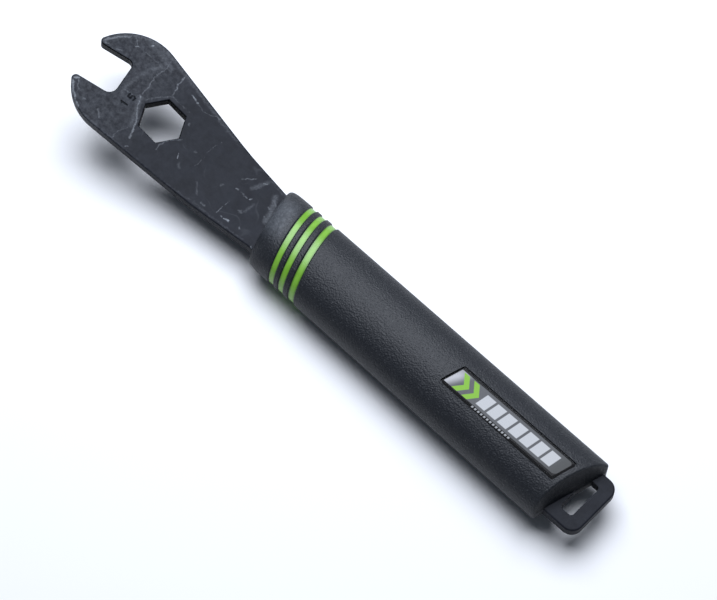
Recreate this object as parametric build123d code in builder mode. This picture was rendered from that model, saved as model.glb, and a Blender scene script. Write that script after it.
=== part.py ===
from build123d import *
from math import cos, pi, radians, sin, sqrt, tan
import os

os.makedirs("parts", exist_ok=True)

# A pedal wrench: a flat steel blade, bent up ahead of a moulded oval grip.
# The origin is the centre of the blade's hexagonal hole, at mid-thickness.
# +X runs along the handle towards the open jaw, +Z is up as the tool lies on its grip.

# Nuts and pedal flats that it turns
nut_flats = 15.0
nut_clearance = 0.1

# Blade
plate_thickness = 4.5
plate_edge_radius = 0.6
shank_width = 23.7
bend_angle = 12.0
bend_radius = 60.0
hex_to_bend = 30.5
bend_to_grip = 25.6
neck_inside_grip = 0.8
neck_land = 1.0

# Head, in the plane of the bent part of the blade
head_radius = 20.5
head_ahead = 18.8
head_side = -0.5
jaw_angle = 15.0
jaw_ahead = 29.1
jaw_side = 1.3
jaw_root_depth = 7.9
root_radius_sharp = 2.4
root_radius_round = 3.3
tip_radius = 1.7

# Hanging tab
tab_length = 9.6
tab_corner_radius = 4.3
hang_slot_rim = 5.0
hang_slot_width = 5.2
hang_slot_length = 14.3
hang_slot_corner = 1.2

# Grip
grip_length = 146.8
grip_width = 31.4
grip_height = 22.8
rake_angle = 15.0
nose_rake_angle = 16.5
tail_lean_angle = 18.0
tail_land_depth = 0.6
tail_corner_radius = 4.2
grip_edge_radius = 0.8
belly_flat_depth = 0.25
nose_length = 9.8
nose_side_radius = 2.0
nose_lip = 1.35
nose_sections = 6

# Coloured rings, from the nose backwards
nose_to_rings = 11.2
ring_names = ("band_front", "band_middle", "band_rear")
ring_widths = (2.2, 2.3, 2.6)
rib_widths = (2.5, 2.75)
groove_depth = 1.2
ring_recess = 0.5
rib_bevel = 0.5

# Badge
badge_recess_length = 51.7
badge_recess_width = 10.2
badge_recess_depth = 1.3
badge_recess_corner = 0.8
badge_to_tail = 5.7
badge_gap = 0.35
badge_label_thickness = 0.25
badge_dome_height = 1.0
badge_dome_edge = 0.6

# Places that follow from the sizes above
bend = radians(bend_angle)
rake = radians(rake_angle)
opening = nut_flats + nut_clearance
bend_x = -hex_to_bend * cos(bend)
shank_z = -hex_to_bend * sin(bend)
nose_x = bend_x - bend_to_grip
tail_x = nose_x - grip_length
tab_end_x = tail_x - tab_length
shank_run = bend_x - tab_end_x
head_run = hex_to_bend + head_ahead + head_radius
root_x = jaw_ahead - jaw_root_depth * cos(radians(jaw_angle))
root_y = jaw_side - jaw_root_depth * sin(radians(jaw_angle))
neck_x = -hex_to_bend - (bend_to_grip + neck_inside_grip) * cos(bend)
shoulder_x = nose_x - nose_length
nose_end_width = grip_width - 2 * nose_side_radius
nose_end_height = plate_thickness + 2 * nose_lip
ring_places = [nose_x - nose_to_rings]
for ring_width, rib_width in zip(ring_widths, rib_widths):
    ring_places.append(ring_places[-1] - ring_width - rib_width)
groove_outside = (grip_width + 2 * groove_depth, grip_height + 2 * groove_depth)
groove_floor = (grip_width - 2 * groove_depth, grip_height - 2 * groove_depth)
ring_outside = (grip_width - 2 * ring_recess, grip_height - 2 * ring_recess)
badge_x = tail_x + badge_to_tail + badge_recess_length / 2
badge_floor = Plane.XY.offset(shank_z + grip_height / 2 - badge_recess_depth)
head_plane = Plane(origin=(0, 0, 0), x_dir=(cos(bend), 0, sin(bend)), z_dir=(-sin(bend), 0, cos(bend)))


def raked_plane(x, angle=rake):
    """A plane across the handle at x, turned about the vertical by an angle."""
    return Plane(
        origin=(x, 0, shank_z),
        x_dir=(-sin(angle), cos(angle), 0),
        z_dir=(cos(angle), sin(angle), 0),
    )


def oval(width, height, angle=rake, mode=Mode.ADD):
    """The oval section of the grip as it shows on a plane raked by an angle."""
    return Ellipse(width / 2 / cos(angle), height / 2, mode=mode)


# Blade: the outline is cut square to the head, then held to the bent strip of plate.
with BuildPart() as blade:
    with BuildSketch(head_plane) as outline:
        with Locations((head_ahead, head_side)):
            Circle(head_radius)
        with Locations((neck_x, 0)):
            Rectangle(neck_land, shank_width, align=(Align.MIN, Align.CENTER))
        make_hull()
        with Locations((neck_x, 0)):
            Rectangle(shank_run, shank_width, align=(Align.MAX, Align.CENTER))
        with Locations((root_x, root_y)):
            Rectangle(
                2 * head_radius,
                opening,
                rotation=jaw_angle,
                align=(Align.MIN, Align.CENTER),
                mode=Mode.SUBTRACT,
            )
        jaw_direction = Axis((root_x, root_y, 0), (cos(radians(jaw_angle)), sin(radians(jaw_angle)), 0))
        fillet(outline.vertices().sort_by(jaw_direction)[-2:], tip_radius)
        across_jaw = Vector(-sin(radians(jaw_angle)), cos(radians(jaw_angle)))
        root = Vector(root_x, root_y)
        for side, radius in ((-1, root_radius_sharp), (1, root_radius_round)):
            corner = root + across_jaw * (side * opening / 2)
            fillet(outline.vertices().sort_by_distance(corner)[0], radius)
        RegularPolygon(opening / 2, 6, major_radius=False, mode=Mode.SUBTRACT)
    extrude(amount=shank_run, both=True)
    with BuildSketch(Plane.XZ):
        with BuildLine():
            tangent_length = bend_radius * tan(bend / 2)
            shank_line = Line((tab_end_x, shank_z), (bend_x - tangent_length, shank_z))
            bend_line = JernArc(shank_line @ 1, shank_line % 1, bend_radius, bend_angle)
            Line(bend_line @ 1, bend_line @ 1 + (bend_line % 1) * head_run)
        trace(line_width=plate_thickness)
    extrude(amount=2 * head_radius, both=True, mode=Mode.INTERSECT)
    fillet(blade.edges().filter_by(Axis.Z).group_by(Axis.X)[0], tab_corner_radius)
    through_plate = blade.edges().filter_by(lambda edge: abs((edge % 0.5).Z) > 0.9)
    bend_seams = blade.edges().filter_by(Axis.Y).filter_by(lambda edge: edge.length > shank_width)
    fillet(blade.edges() - through_plate - bend_seams, plate_edge_radius)
    with BuildSketch(Plane.XY.offset(shank_z)):
        with Locations((tab_end_x + hang_slot_rim + hang_slot_width / 2, 0)):
            RectangleRounded(hang_slot_width, hang_slot_length, hang_slot_corner)
    extrude(amount=plate_thickness, both=True, mode=Mode.SUBTRACT)
blade.part.label = "blade"
export_step(blade.part, "parts/blade.step")


def raked_tube(x, length, outside, inside):
    """An oval tube along the handle with raked ends, its front end at x."""
    with BuildPart() as tube:
        with BuildSketch(raked_plane(x)):
            oval(*outside)
            oval(*inside, mode=Mode.SUBTRACT)
        extrude(amount=length, dir=(-1, 0, 0))
    return tube.part


def badge_outline(plane, inset):
    """The badge's slanted outline on a plane, inset from its recess by a gap all round."""
    half_length = badge_recess_length / 2 - inset / cos(rake)
    half_width = badge_recess_width / 2 - inset
    slant = half_width * tan(rake)
    near_corners = [(badge_x - slant + end * half_length, -half_width) for end in (-1, 1)]
    far_corners = [(badge_x + slant + end * half_length, half_width) for end in (1, -1)]
    with BuildSketch(plane) as outline:
        Polygon(*near_corners, *far_corners, align=None)
        fillet(outline.vertices(), badge_recess_corner)
    return outline.sketch


# Grip: an oval body, a domed nose and a wedge-shaped tail, moulded round the blade.
with BuildPart() as grip:
    with BuildSketch(raked_plane(shoulder_x)):
        oval(grip_width, grip_height)
    extrude(amount=grip_length, dir=(-1, 0, 0))
    for lean in (-tail_lean_angle, tail_lean_angle):
        tail_normal = (1, -tan(rake), tan(radians(lean)))
        split(bisect_by=Plane(origin=(tail_x, 0, shank_z), z_dir=tail_normal), keep=Keep.TOP)
    with BuildSketch(Plane.XY.offset(shank_z)):
        side_y = grip_width / 2 + tail_land_depth
        land_x = tail_x + tail_land_depth
        tail_corners = [(land_x + y * tan(rake), y) for y in (-side_y, side_y)]
        tail_plan = Polygon(*tail_corners, (nose_x, side_y), (nose_x, -side_y), align=None)
        fillet(tail_plan.vertices().sort_by(Axis.X)[0], tail_corner_radius)
    extrude(amount=grip_height, both=True, mode=Mode.INTERSECT)
    tail_rim = grip.edges().filter_by(lambda edge: edge.center().X < tail_x + grip_height)
    fillet(tail_rim.filter_by(GeomType.LINE, reverse=True), grip_edge_radius)
    for section in range(nose_sections + 1):
        turn = pi / 2 * section / nose_sections
        width = nose_end_width + 2 * nose_side_radius * sqrt(1 - sin(turn) ** 6)
        height = nose_end_height + (grip_height - nose_end_height) * cos(turn)
        angle = rake + radians(nose_rake_angle - rake_angle) * sin(turn)
        with BuildSketch(raked_plane(shoulder_x + nose_length * sin(turn), angle)):
            oval(width, height, angle)
    loft()
    for ring_x, ring_width in zip(ring_places, ring_widths):
        add(raked_tube(ring_x, ring_width, groove_outside, groove_floor), mode=Mode.SUBTRACT)
    curved_edges = grip.edges().filter_by(GeomType.BSPLINE)
    groove_rims = curved_edges.filter_by(lambda edge: edge.length > 2 * grip_width)
    chamfer(groove_rims, rib_bevel)
    extrude(badge_outline(badge_floor, 0), amount=grip_height, mode=Mode.SUBTRACT)
    belly = shank_z - grip_height / 2 + belly_flat_depth
    split(bisect_by=Plane.XY.offset(belly), keep=Keep.TOP)
    add(blade.part, mode=Mode.SUBTRACT)
grip.part.label = "grip"
export_step(grip.part, "parts/grip.step")

# Coloured rings: each lies in its groove, a little below the ribs.
for ring_name, ring_x, ring_width in zip(ring_names, ring_places, ring_widths):
    with BuildPart() as ring:
        add(raked_tube(ring_x, ring_width, ring_outside, groove_floor))
    ring.part.label = ring_name
    export_step(ring.part, f"parts/{ring_name}.step")

# Badge: a printed label on the floor of its recess, under a clear resin dome.
with BuildPart() as badge_label:
    extrude(badge_outline(badge_floor, badge_gap), amount=badge_label_thickness)
badge_label.part.label = "badge_label"
export_step(badge_label.part, "parts/badge_label.step")

with BuildPart() as badge_dome:
    dome_base = badge_floor.offset(badge_label_thickness)
    extrude(badge_outline(dome_base, badge_gap), amount=badge_dome_height)
    fillet(badge_dome.faces().sort_by(Axis.Z)[-1].edges(), badge_dome_edge)
badge_dome.part.label = "badge_dome"
export_step(badge_dome.part, "parts/badge_dome.step")
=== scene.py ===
import bpy
from math import cos, radians, sin
from mathutils import Euler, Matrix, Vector


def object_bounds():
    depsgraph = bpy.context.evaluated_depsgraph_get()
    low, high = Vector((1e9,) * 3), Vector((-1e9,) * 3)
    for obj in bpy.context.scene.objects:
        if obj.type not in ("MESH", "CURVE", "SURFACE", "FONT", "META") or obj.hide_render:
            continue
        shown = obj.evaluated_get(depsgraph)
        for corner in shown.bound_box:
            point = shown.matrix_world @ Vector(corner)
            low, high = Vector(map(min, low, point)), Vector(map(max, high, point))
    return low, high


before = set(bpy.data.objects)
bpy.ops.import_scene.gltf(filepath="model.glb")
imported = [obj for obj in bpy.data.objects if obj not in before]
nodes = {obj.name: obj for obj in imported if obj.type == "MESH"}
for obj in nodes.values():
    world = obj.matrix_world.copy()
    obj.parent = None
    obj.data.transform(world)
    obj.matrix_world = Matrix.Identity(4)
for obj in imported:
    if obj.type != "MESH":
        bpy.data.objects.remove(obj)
cad_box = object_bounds()

# Camera: it looks down on the tool from above the grip's left side, so that the head lies
# at the top left of a picture 717 pixels wide and 600 high, and the tail at the bottom right.
view_width_px = 717
focal_px = 2095.8
sensor_mm = 36.0
camera_place = (-0.32809, 0.23165, 0.65447)
camera_tilt = radians(26.308)
camera_turn = radians(-135.47)
camera_data = bpy.data.cameras.new("camera")
camera_data.sensor_width = sensor_mm
camera_data.lens = sensor_mm * focal_px / view_width_px
camera = bpy.data.objects.new("camera", camera_data)
camera.location = camera_place
camera.rotation_euler = Euler((camera_tilt, 0, camera_turn))
bpy.context.scene.collection.objects.link(camera)
bpy.context.scene.camera = camera


# Blade: one steel plate, blanked and then bent between the grip and the head. Its dark satin
# plating is scratched by use and rubbed light along the edges, most of all on the head, with a
# painted highlight along its edges and painted shade on its cut walls.
# The size it fits, in millimetres, is stamped beside the jaw.
class Tone:
    """One socket of a finish, so that sums and products of grey tones are written as such."""

    def __init__(self, finish, socket):
        self.finish = finish
        self.socket = socket

    def calc(self, operation, *values):
        return self.finish.node("ShaderNodeMath", {"operation": operation}, values)

    def __add__(self, value):
        return self.calc("ADD", self, value)

    def __radd__(self, value):
        return self.calc("ADD", value, self)

    def __sub__(self, value):
        return self.calc("SUBTRACT", self, value)

    def __rsub__(self, value):
        return self.calc("SUBTRACT", value, self)

    def __mul__(self, value):
        return self.calc("MULTIPLY", self, value)

    def __rmul__(self, value):
        return self.calc("MULTIPLY", value, self)

    def larger(self, value):
        return self.calc("MAXIMUM", self, value)

    def smaller(self, value):
        return self.calc("MINIMUM", self, value)

    def size(self):
        """The tone without its sign."""
        return self.calc("ABSOLUTE", self)

    def fade(self, low, high, low_result=0.0, high_result=1.0):
        """A smooth step from one result to the other as this tone goes from low to high."""
        return self.finish.node("ShaderNodeMapRange", {"interpolation_type": "SMOOTHSTEP"},
                                [self, low, high, low_result, high_result])


class Finish:
    """A material that is mixed from nodes and put on pieces."""

    def __init__(self, name):
        self.material = bpy.data.materials.new(name)
        self.material.use_nodes = True
        self.tree = self.material.node_tree
        self.shader = self.tree.nodes["Principled BSDF"]

    def node(self, kind, settings=(), values=(), output=0):
        """A new node: its settings are set first, then the values or links of its sockets."""
        made = self.tree.nodes.new(kind)
        for name, value in dict(settings).items():
            setattr(made, name, value)
        for key, value in values.items() if isinstance(values, dict) else enumerate(values):
            if isinstance(value, Tone):
                self.tree.links.new(value.socket, made.inputs[key])
            else:
                made.inputs[key].default_value = value
        return Tone(self, made.outputs[output])

    def place(self):
        """Where a point lies on the object, in metres."""
        return self.node("ShaderNodeTexCoord", output="Object")

    def along(self, place, direction):
        """How far a place lies along a direction, in metres."""
        return self.node("ShaderNodeVectorMath", {"operation": "DOT_PRODUCT"},
                         [place, direction], "Value")

    def noise(self, place, scale, detail=2.0, roughness=0.5):
        return self.node("ShaderNodeTexNoise", values={
            "Vector": place, "Scale": scale, "Detail": detail, "Roughness": roughness})

    def shaken(self, place, scale, reach):
        """A place moved to and fro by noise, so that what is drawn there wavers."""
        waver = self.node("ShaderNodeTexNoise", values={"Vector": place, "Scale": scale},
                          output="Color")
        shift = self.node("ShaderNodeVectorMath", {"operation": "SUBTRACT"},
                          [waver, (0.5, 0.5, 0.5)])
        shift = self.node("ShaderNodeVectorMath", {"operation": "SCALE"}, {0: shift, 3: reach})
        return self.node("ShaderNodeVectorMath", {"operation": "ADD"}, [place, shift])

    def blend(self, share, first, second):
        """A colour between two, by a share from 0 to 1."""
        first, second = [(*colour, 1) if isinstance(colour, tuple) else colour
                         for colour in (first, second)]
        return self.node("ShaderNodeMix", {"data_type": "RGBA"}, {0: share, 6: first, 7: second}, 2)

    def set(self, **values):
        """The shader's own sockets: a plain value is set there, a tone is linked."""
        for name, value in values.items():
            socket = self.shader.inputs[name.replace("_", " ").title().replace("Ior", "IOR")]
            if isinstance(value, Tone):
                self.tree.links.new(value.socket, socket)
            else:
                socket.default_value = (*value, 1) if isinstance(value, tuple) else value

    def bump(self, height, depth):
        """A relief of the given depth in metres, where the height goes from 0 to 1."""
        normal = self.node("ShaderNodeBump", values={"Height": height, "Distance": depth})
        self.set(normal=normal)

    def put_on(self, *pieces):
        for piece in pieces:
            for number in range(len(piece.data.materials)):
                piece.data.materials[number] = self.material


bend = radians(12)
bend_start = -0.0305
plate_half = 0.00225
plate_along = Vector((cos(bend), 0, sin(bend)))
plate_normal = Vector((-sin(bend), 0, cos(bend)))


def on_blade(along, across):
    """A point of the plate's upper face, from its place along the bent plate and across it, in mm."""
    along = along / 1000
    if along < bend_start:
        corner = bend_start * plate_along
        return corner + Vector((along - bend_start, across / 1000, plate_half))
    return along * plate_along + plate_half * plate_normal + Vector((0, across / 1000, 0))


def stroke(finish, place, start, end, half_width):
    """A share of 1 on the line between two points, down to 0 at the half width from it."""
    line = end - start
    way = line.normalized()
    reach = finish.node("ShaderNodeVectorMath", {"operation": "SUBTRACT"}, [place, start])
    held = finish.node("ShaderNodeClamp", values=[finish.along(reach, way), 0.0, line.length])
    foot = finish.node("ShaderNodeVectorMath", {"operation": "SCALE"}, {0: way, 3: held})
    away = finish.node("ShaderNodeVectorMath", {"operation": "DISTANCE"}, [reach, foot], "Value")
    return away.fade(0.0, half_width, 1.0, 0.0)


def strokes(finish, place, half_width_mm, strength, *points):
    """Strokes from point to point of the blade's upper face, each along and across it in mm."""
    spots = [on_blade(*point) for point in points]
    drawn = 0.0
    for start, end in zip(spots, spots[1:]):
        drawn = stroke(finish, place, start, end, half_width_mm / 1000).larger(drawn)
    return drawn * strength


steel = Finish("blade_steel")
place = steel.place()
ahead = steel.along(place, plate_along)
mottle = steel.noise(place, 160, 4, 0.6)
grain = steel.noise(place, 1500, 3, 0.65)
rough_patches = steel.noise(place, 620, 4, 0.7)
head_share = ahead.fade(-0.004, 0.018)

# Scratches and scuffs: half width in mm, strength, then the points that each runs through
wavering = steel.shaken(place, 600, 0.0018)
scratches = 0.0
for half_width, strength, points in (
    (0.57, 0.2, ((36.2, -5.4), (35.5, -6.2))),
    (0.72, 0.18, ((37.3, -5.9), (36.0, -8.7), (34.3, -11.5), (32.0, -13.9))),
    (0.37, 0.16, ((30.3, -15.3), (27.7, -13.9))),
    (0.45, 0.4, ((27.8, -12.9), (27.1, -13.8))),
    (0.49, 0.6, ((24.1, -17.5), (23.5, -17.9))),
    (0.33, 0.15, ((26.4, -13.6), (21.7, -14.2), (19.3, -14.5),
                  (15.8, -14.2), (13.8, -15.3), (11.7, -15.9))),
    (0.41, 0.18, ((15.1, -18.1), (13.8, -15.3), (14.5, -11.0),
                  (13.5, -6.6), (12.7, -3.4), (12.2, -0.9))),
    (0.57, 0.28, ((12.2, -0.9), (10.7, 2.0), (8.8, 4.7), (6.9, 6.0), (4.8, 9.5), (3.0, 13.4))),
    (0.49, 0.36, ((12.4, -1.2), (12.0, -0.6))),
    (0.49, 0.4, ((4.9, 9.2), (4.6, 9.9))),
    (0.37, 0.2, ((33.1, -5.9), (30.0, -8.0))),
    (0.41, 0.15, ((19.8, 2.4), (17.0, 1.5), (13.1, 0.7))),
    (0.33, 0.15, ((7.6, 18.1), (7.7, 14.6), (6.4, 11.4))),
    (0.49, 0.28, ((1.7, 16.6), (1.2, 16.3))),
    (0.64, 0.15, ((24.9, 15.3), (24.3, 14.9))),
    (0.64, 0.15, ((18.7, 14.2), (17.9, 14.5), (16.1, 16.6))),
    (0.76, 0.36, ((33.0, 13.3), (28.4, 17.0), (24.1, 19.2))),
    (0.57, 0.43, ((33.6, 12.2), (32.3, 11.0))),
    (0.41, 0.16, ((31.8, 11.9), (28.6, 14.8))),
    (0.37, 0.11, ((10.1, -0.9), (7.8, -5.2), (4.7, -9.3), (-3.8, -9.6))),
    (0.33, 0.18, ((-10.1, -0.3), (-6.3, 4.6), (-6.0, 7.3), (-6.7, 9.4))),
    (0.49, 0.24, ((7.1, -17.6), (6.3, -13.7), (4.9, -9.9))),
    (0.49, 0.4, ((0.1, -15.4), (-3.4, -14.6))),
    (0.37, 0.11, ((-4.0, -14.1), (-6.9, -13.8), (-10.0, -14.9), (-13.3, -16.3))),
    (0.29, 0.12, ((-20.6, 3.7), (-20.3, -0.1), (-19.7, -4.1), (-19.8, -7.1), (-20.5, -10.4))),
    (0.41, 0.4, ((-13.3, 4.3), (-14.1, 5.7))),
    (0.49, 0.09, ((-25.3, 7.1), (-29.1, 10.3))),
    (0.49, 0.18, ((-36.6, -6.0), (-39.9, -9.3))),
    (0.57, 0.28, ((-42.9, -9.9), (-44.2, -10.6))),
    (0.8, 0.12, ((-42.9, -6.4), (-44.0, -10.4))),
    (0.37, 0.24, ((-37.4, -1.6), (-41.3, -1.4), (-43.2, -1.5))),
    (0.49, 0.44, ((-44.4, -1.9), (-45.1, -2.2))),
    (0.33, 0.3, ((-39.4, 10.2), (-39.5, 3.9))),
    (0.41, 0.44, ((-41.1, 10.3), (-42.4, 10.1))),
    (0.49, 0.72, ((-43.6, 10.1), (-45.1, 9.8))),
    (0.41, 0.22, ((-49.7, 8.7), (-50.5, 9.0))),
    (0.41, 0.36, ((-58.6, 11.2), (-59.3, 11.6))),
    (0.57, 0.14, ((-45.0, 4.2), (-46.3, 4.0))),
    (0.49, 0.18, ((-32.9, 11.5), (-35.4, 11.3))),
    (1.7, 0.14, ((-50.3, -8.8), (-52.3, -5.6), (-54.0, -2.4), (-55.0, 0.6))),
    (0.8, 0.21, ((-50.8, -7.2), (-53.0, -6.4))),
    (0.8, 0.19, ((-51.5, -4.0), (-53.6, -3.5))),
    (0.6, 0.16, ((-53.1, -0.4), (-54.8, -0.2))),
    (1.3, 0.1, ((-41.8, -5.6), (-43.0, -8.8), (-43.9, -11.4))),
    (1.0, 0.09, ((-46.7, 2.9), (-46.9, -1.1))),
    (0.8, 0.12, ((-32.7, 1.6), (-33.1, 0.8))),
    (0.8, 0.12, ((-45.4, 4.3), (-45.6, 3.8))),
    (0.8, 0.1, ((-16.5, -0.7), (-17.1, -0.7))),
    (0.6, 0.12, ((-7.6, -6.0), (-7.4, -6.6))),
    (0.8, 0.08, ((-15.8, 6.8), (-17.1, 7.9))),
    (1.8, 0.09, ((11.9, -0.1), (8.8, 4.7), (6.3, 9.5))),
    (1.6, 0.07, ((24.4, -17.8), (18.5, -17.6), (12.3, -16.3))),
    (1.5, 0.06, ((17.9, 3.2), (18.4, -2.2), (18.0, -8.8), (16.4, -14.2))),
):
    scratches = strokes(steel, wavering, half_width, strength, *points).larger(scratches)

# Light strips along the edges of the plate, broken up by its fine grain: rubbed wear, and a painted
# highlight where the rounded edges catch the light
right_edge = ((36.9, -6.5), (34.5, -11.6), (31.0, -15.6), (26.2, -18.6),
              (20.5, -19.9), (14.2, -19.5), (-18.8, -15.3), (-54.0, -11.5))
left_edge = ((22.0, 19.6), (-15.0, 16.3), (-30.0, 13.4), (-54.0, 11.5))
edge_rub_and_highlight = strokes(steel, wavering, 1.1, 0.14, *right_edge)
edge_rub_and_highlight = strokes(steel, wavering, 0.6, 0.1, *left_edge).larger(edge_rub_and_highlight)
hair_lines = (steel.noise(place, 60, 1.5) - 0.5).size().fade(0.0, 0.012, 1.0, 0.0)
hair_share = steel.noise(place, 95, 2).fade(0.5, 0.68) * (0.05 + 0.1 * head_share)
wear_and_edge_highlight = scratches * grain.fade(0.25, 0.7, 0.45, 1.45) + edge_rub_and_highlight * grain.fade(0.2, 0.75)
wear_and_edge_highlight = wear_and_edge_highlight + hair_lines * hair_share + rough_patches.fade(0.3, 0.75) * (0.015 + 0.1 * head_share)

# The cut walls of the hexagon and the jaw get painted shade, almost black, up to their rounded rims,
# with a metallic setting that dulls what they reflect
jaw_turn = radians(15)
jaw_out = plate_along * cos(jaw_turn) + Vector((0, sin(jaw_turn), 0))
jaw_side = plate_along * -sin(jaw_turn) + Vector((0, cos(jaw_turn), 0))
jaw_axis_side = -0.00628
jaw_root = 0.0203
jaw_reach = 0.0077
hex_reach = 0.009
rim = 0.0006
across = steel.along(place, (0, 1, 0))
in_hex = (ahead * ahead + across * across).fade(hex_reach ** 2, (hex_reach + rim) ** 2, 1.0, 0.0)
from_jaw_axis = (steel.along(place, jaw_side) - jaw_axis_side).size()
in_jaw = from_jaw_axis.fade(jaw_reach, jaw_reach + rim, 1.0, 0.0)
in_jaw = in_jaw * steel.along(place, jaw_out).fade(jaw_root - rim, jaw_root)
off_middle = steel.along(place, plate_normal).size()
shaded_walls = off_middle.fade(plate_half * 0.9, plate_half * 0.98, 1.0, 0.0) * in_hex.larger(in_jaw)

# The stamp: the size of a digit, and for each digit its middle and the corners of its stroke
stamp_up = Vector((0.987, 0.163))
stamp_right = Vector((0.163, -0.987))
stamp_line_half_mm = 0.42
digit_half = Vector((0.85, 1.3))
digit_shapes = (
    (Vector((14.3, 5.5)), ((-0.5, 0.6), (0.0, 1.0), (0.0, -1.0))),
    (Vector((14.1, 1.9)), ((0.9, 1.0), (-0.8, 1.0), (-0.9, 0.1), (0.5, 0.15),
                           (0.9, -0.4), (0.4, -1.0), (-0.9, -0.9))),
)
stamp = 0.0
for middle, shape in digit_shapes:
    points = [middle + right * digit_half.x * stamp_right + up * digit_half.y * stamp_up
              for right, up in shape]
    stamp = strokes(steel, place, stamp_line_half_mm, 1.0, *points).larger(stamp)

plating_dark = (0.0052, 0.0066, 0.011)
plating_light = (0.0098, 0.0118, 0.018)
bare_steel_and_highlight = (0.33, 0.355, 0.39)
wall_shade_and_stamp_dark = (0.003, 0.0033, 0.004)
base = steel.blend(mottle.fade(0.3, 0.7), plating_dark, plating_light)
# Wear and the painted edge highlight, both in the colour of bare steel
base = steel.blend(wear_and_edge_highlight, base, bare_steel_and_highlight)
# Painted shade on the cut walls; the stamped digits take the same dark colour
base = steel.blend(shaded_walls.larger(stamp * 0.9), base, wall_shade_and_stamp_dark)
steel.set(base_color=base, metallic=shaded_walls * 0.9,
          roughness=0.56 - wear_and_edge_highlight.fade(0.0, 0.4) * 0.16, specular_ior_level=0.145)
steel.bump(grain * 0.35 + rough_patches * head_share - stamp * 2.5 - scratches, 0.00012)
steel.put_on(nodes["blade"])

# Grip: soft rubber moulded round the blade in one shot, with a leathery grain from the mould
# and pale dust caught in it; a highlight is painted in pale grey along the crest of its nose.
rake = radians(15)
raked_way = (cos(rake), sin(rake), 0)
nose_root = -0.065
nose_top = -0.06
crest_side = -0.002
crest_half = 0.003
crest_reach = 0.011
rubber_black = (0.0062, 0.0082, 0.0122)
nose_highlight_grey = (0.085, 0.093, 0.105)
dust_grey = (0.12, 0.125, 0.135)
rubber = Finish("grip_rubber")
place = rubber.place()
pebbles = rubber.node("ShaderNodeTexVoronoi", {"feature": "SMOOTH_F1"},
                      {"Vector": place, "Scale": 1750})
folds = rubber.noise(place, 800, 3, 0.6)
dust = rubber.noise(place, 2300, 2, 0.6)
specks = dust.fade(0.58, 0.72) * folds.fade(0.4, 0.6)
# Painted highlight: pale grey on the crest of the nose, where the lamp's light falls, broken up by
# the folds
nose_share = rubber.along(place, raked_way).fade(nose_root, nose_top)
from_crest = (rubber.along(place, (0, 1, 0)) - crest_side).size()
crest_highlight_band = from_crest.fade(crest_half, crest_reach, 1.0, 0.0)
nose_painted_highlight = nose_share * crest_highlight_band * folds.fade(0.3, 0.7, 0.5, 1.0)
base = rubber.blend(nose_painted_highlight, rubber_black, nose_highlight_grey)
base = rubber.blend(specks * 0.5, base, dust_grey)
rubber.set(base_color=base, roughness=0.55, specular_ior_level=0.46)
rubber.bump(pebbles * 0.8 + folds * 0.7 + dust * 0.4, 0.0002)
rubber.put_on(nodes["grip"])

# Rings: glossy green plastic moulded into the grooves of the grip, with painted shade along
# their edges, where the ribs shade them.
ring_middles = (-0.06773, -0.07248, -0.07768)
ring_lit_half = 0.0005
ring_half = 0.0013
ring_deep_green = (0.155, 0.365, 0.028)
ring_green = (0.2, 0.44, 0.048)
ring_edge_shade_green = (0.085, 0.2, 0.018)
plastic = Finish("ring_colour")
place = plastic.place()
cloud = plastic.noise(place, 260, 3).fade(0.3, 0.7)
along_rings = plastic.along(place, raked_way)
from_middle = 1.0
for ring_middle in ring_middles:
    from_middle = (along_rings - ring_middle * cos(rake)).size().smaller(from_middle)
base = plastic.blend(cloud, ring_deep_green, ring_green)
# Painted shade: darker green along each ring's edges next to the ribs
base = plastic.blend(from_middle.fade(ring_lit_half, ring_half), base, ring_edge_shade_green)
plastic.set(base_color=base, roughness=0.32 + cloud * 0.06, specular_ior_level=0.55)
plastic.bump(plastic.noise(place, 500, 2), 0.00002)
plastic.put_on(nodes["band_front"], nodes["band_middle"], nodes["band_rear"])

# Badge label: a printed film on the floor of the recess. Its grey field, dark at the tail,
# lies between black borders and bears two nested chevrons, a row of slanted blocks and a
# line of fine dashes. The light the dome catches at its front end is painted on the field as a pale
# silver end.
badge_middle_x = -0.17068
end_slant = 0.27
field_front = -25.3
field_tail = 24.7
field_bottom = -3.35
field_top = 4.05
corner_radius = 1.5
corner_soft = 0.1
rim_soft = 0.12
chevron_starts = (-15.6, -20.1)
chevron_width = 2.4
border_black = (0.004, 0.004, 0.0045)
field_grey = (0.085, 0.088, 0.093)
field_light = (0.13, 0.133, 0.138)
painted_reflection_silver = (0.52, 0.52, 0.54)
tail_grey = (0.035, 0.036, 0.03)
print_green = (0.235, 0.49, 0.05)
print_white = (0.54, 0.55, 0.56)
film = Finish("badge_print")
place = film.place()
right = (badge_middle_x - film.along(place, (1, 0, 0))) * 1000
up = film.along(place, (0, -1, 0)) * 1000 - right * 0.012


def inside(tone, low, high):
    """A share of 1 where a tone lies between two values in mm, with a soft rim."""
    above = tone.fade(low - rim_soft, low + rim_soft)
    return above * tone.fade(high - rim_soft, high + rim_soft, 1.0, 0.0)


def row(tone, start, pitch, width, count):
    """Equal marks in a row, by their start, pitch, width and number, the sizes in mm."""
    turns = film.node("ShaderNodeMath", {"operation": "FRACT"}, [(tone - start) * (1 / pitch)])
    return inside(turns * pitch, rim_soft, width) * inside(tone, start, start + pitch * count)


from_end = right - up * end_slant
field_middle = (field_bottom + field_top) / 2
field_half = (field_top - field_bottom) / 2
past_end = (from_end - (field_tail - corner_radius)).larger(0.0)
past_side = ((up - field_middle).size() - (field_half - corner_radius)).larger(0.0)
round_tail = (past_end * past_end + past_side * past_side).fade(
    (corner_radius - corner_soft) ** 2, (corner_radius + corner_soft) ** 2, 1.0, 0.0)
field = inside(up, field_bottom, field_top) * inside(from_end, field_front, field_tail) * round_tail
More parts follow.
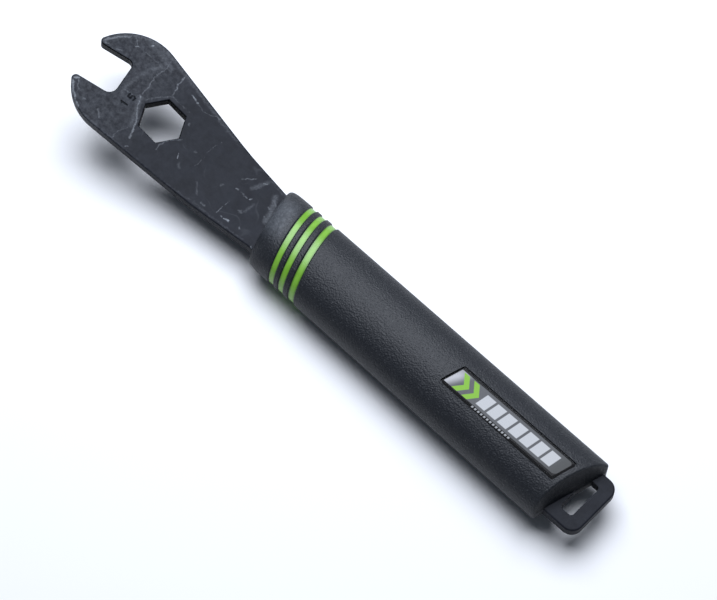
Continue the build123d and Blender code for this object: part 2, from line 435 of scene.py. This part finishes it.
# Painted reflection: the light the dome catches at its front end, as a pale silver end of the field
dome_reflection_share = (from_end - up * 0.3).fade(-24.8, -20.6, 1.0, 0.0) * up.fade(0.5, 4.5, 1.0, 0.55)
dark_end = from_end.fade(14.0, 25.0, 0.0, 0.45)
slant = right - up * 0.18
blocks = row(slant, start=-12.3, pitch=4.86, width=4.05, count=7) * inside(up, -2.3, 2.9)
dashes = row(slant, start=-12.3, pitch=1.36, width=0.85, count=13) * inside(up, -4.3, -3.6)
point = right + up.size() * 0.8
chevrons = 0.0
for start in chevron_starts:
    chevrons = inside(point, start, start + chevron_width) + chevrons
chevrons = chevrons * inside(up, -3.7, 3.7)
haze = film.noise(place, 60, 2)
base = film.blend(field, border_black, film.blend(haze, field_grey, field_light))
base = film.blend(dome_reflection_share * field, base, painted_reflection_silver)
base = film.blend(dark_end * field, base, tail_grey)
base = film.blend(chevrons * field, base, print_green)
base = film.blend(blocks.larger(dashes * 0.7), base, print_white)
film.set(base_color=base, roughness=0.45 + haze * 0.1, specular_ior_level=0.05)
film.put_on(nodes["badge_label"])

# Badge dome: clear resin poured on the label, which draws up into a crowned surface with
# rounded shoulders. Where it wets the label it has no surface of its own to see.
resin_foot = 0.0041
resin_shoulder = 0.0044
resin_tint = (0.01, 0.01, 0.011)
resin_haze = (0.014, 0.014, 0.015)
resin = Finish("clear_resin")
place = resin.place()
over_width = resin.along(place, (0, 1, 0)) * 1000
surface = resin.along(place, (0, 0, 1)).fade(resin_foot, resin_shoulder)
ripple = resin.noise(place, 90, 2)
resin.set(base_color=resin.blend(ripple, resin_tint, resin_haze), alpha=surface * 0.06,
          roughness=0.2 + ripple * 0.06, specular_ior_level=0.9)
resin.bump(over_width * over_width * -0.012, 0.001)
resin.put_on(nodes["badge_dome"])

# Floor and light: a pale matt table under one large soft lamp ahead of the tool on its right
# side, and an even, faint surround.
floor_size = 6.0
bpy.ops.object.select_all(action="DESELECT")
bpy.ops.mesh.primitive_plane_add(size=floor_size, location=(0, 0, cad_box[0][2]))
floor = bpy.context.object
floor.name = "floor"
paper = Finish("floor_paper")
paper.set(base_color=(0.9, 0.9, 0.905), roughness=0.9)
floor.data.materials.append(paper.material)

world = bpy.data.worlds.new("surround")
world.use_nodes = True
background = world.node_tree.nodes["Background"]
background.inputs["Color"].default_value = (0.8, 0.93, 1.12, 1)
background.inputs["Strength"].default_value = 0.07
bpy.context.scene.world = world
bpy.context.scene.view_settings.view_transform = "Standard"

tool_middle = (cad_box[0] + cad_box[1]) / 2
lamp_way = Vector((0.22, -0.29, 0.93)).normalized()
lamp_distance = 0.74
lamp_light = bpy.data.lights.new("soft_lamp", "AREA")
lamp_light.shape = "RECTANGLE"
lamp_light.size = 0.7
lamp_light.size_y = 0.66
lamp_light.energy = 9.4
lamp_light.color = (0.94, 0.985, 1.08)
lamp = bpy.data.objects.new("soft_lamp", lamp_light)
lamp.location = tool_middle + lamp_way * lamp_distance
lamp.rotation_euler = lamp_way.to_track_quat("Z", "Y").to_euler()
bpy.context.scene.collection.objects.link(lamp)
